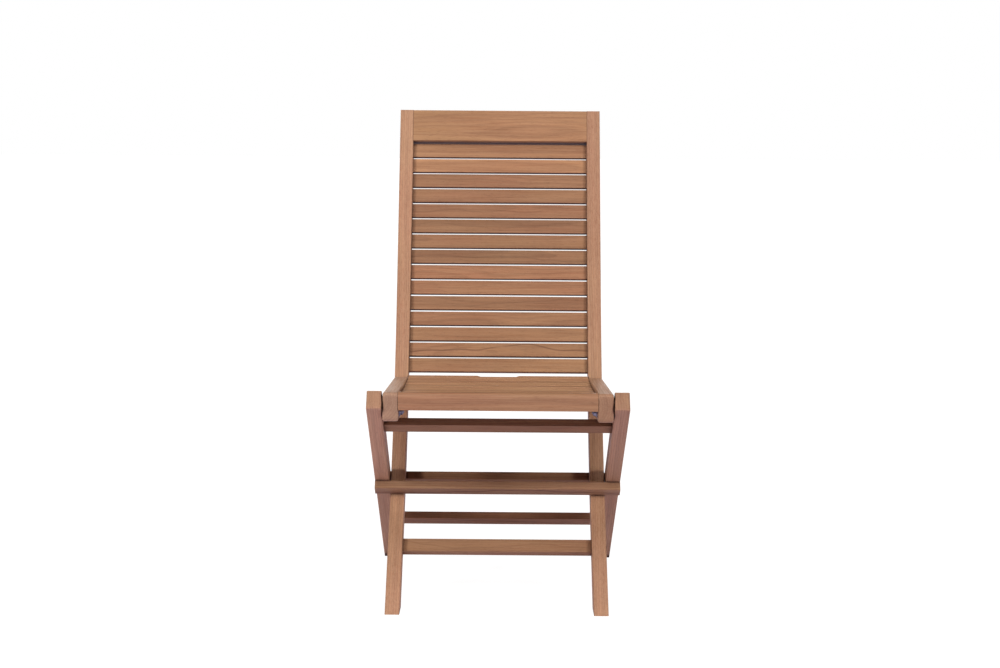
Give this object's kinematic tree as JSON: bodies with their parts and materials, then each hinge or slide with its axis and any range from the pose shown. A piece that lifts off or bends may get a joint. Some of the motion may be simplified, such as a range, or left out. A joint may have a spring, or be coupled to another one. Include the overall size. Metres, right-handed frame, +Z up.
{
  "type": "folding chair",
  "caption": "Slatted wooden folding chair with a high raked back, a crossing leg frame and a seat that folds flat against the back.",
  "frame": {"origin": "on the floor, at the middle of the chair's overall box", "axes": "+Z up, +X to the right as seen from the front, +Y towards the back; the sitter faces -Y"},
  "size_m": [0.4852, 0.6462, 0.9575],
  "materials": {
    "teak": "fine sanded, unfinished",
    "hardware": "satin"
  },
  "bodies": {
    "back_frame": {"left_stile": "teak", "right_stile": "teak", "top_rail": "teak", "back_slat_01": "teak", "back_slat_02": "teak", "back_slat_03": "teak", "back_slat_04": "teak", "back_slat_05": "teak", "back_slat_06": "teak", "back_slat_07": "teak", "back_slat_08": "teak", "back_slat_09": "teak", "back_slat_10": "teak", "back_slat_11": "teak", "back_slat_12": "teak", "back_slat_13": "teak", "back_slat_14": "teak", "back_slat_15": "teak", "front_stretcher": "teak", "seat_support_rail": "teak"},
    "leg_frame": {"left_leg": "teak", "right_leg": "teak", "upper_leg_bar": "teak", "rear_stretcher": "teak", "front_stop_bar": "teak", "rear_stop_bar": "teak", "front_stop_dowels": "teak", "rear_stop_dowels": "teak", "crossing_bolts": "hardware", "crossing_spacers": "hardware", "crossing_washers": "hardware", "crossing_nuts": "hardware", "seat_bolts": "hardware", "seat_spacers": "hardware", "seat_washers": "hardware", "seat_nuts": "hardware"},
    "seat": {"left_seat_rail": "teak", "right_seat_rail": "teak", "left_seat_batten": "teak", "right_seat_batten": "teak", "front_seat_slat": "teak", "seat_slat_01": "teak", "seat_slat_02": "teak", "seat_slat_03": "teak", "seat_slat_04": "teak", "seat_slat_05": "teak", "seat_slat_06": "teak", "seat_slat_07": "teak", "seat_slat_08": "teak", "seat_slat_09": "teak", "seat_slat_10": "teak", "seat_slat_11": "teak", "slat_screws": "hardware", "batten_screws": "hardware"}
  },
  "joints": [
    {"name": "leg_fold", "type": "hinge", "parent": "back_frame", "child": "leg_frame", "pos_m": [0, -0.03602, 0.21132], "axis": [-1, 0, 0], "range_deg": [0, 75]},
    {"name": "seat_fold", "type": "hinge", "parent": "leg_frame", "child": "seat", "pos_m": [0, -0.27721, 0.39505], "axis": [1, 0, 0], "range_deg": [0, 148]}
  ],
  "couplings": [
    {"joint": "seat_fold", "follows": "leg_fold", "ratio": 1.97}
  ]
}
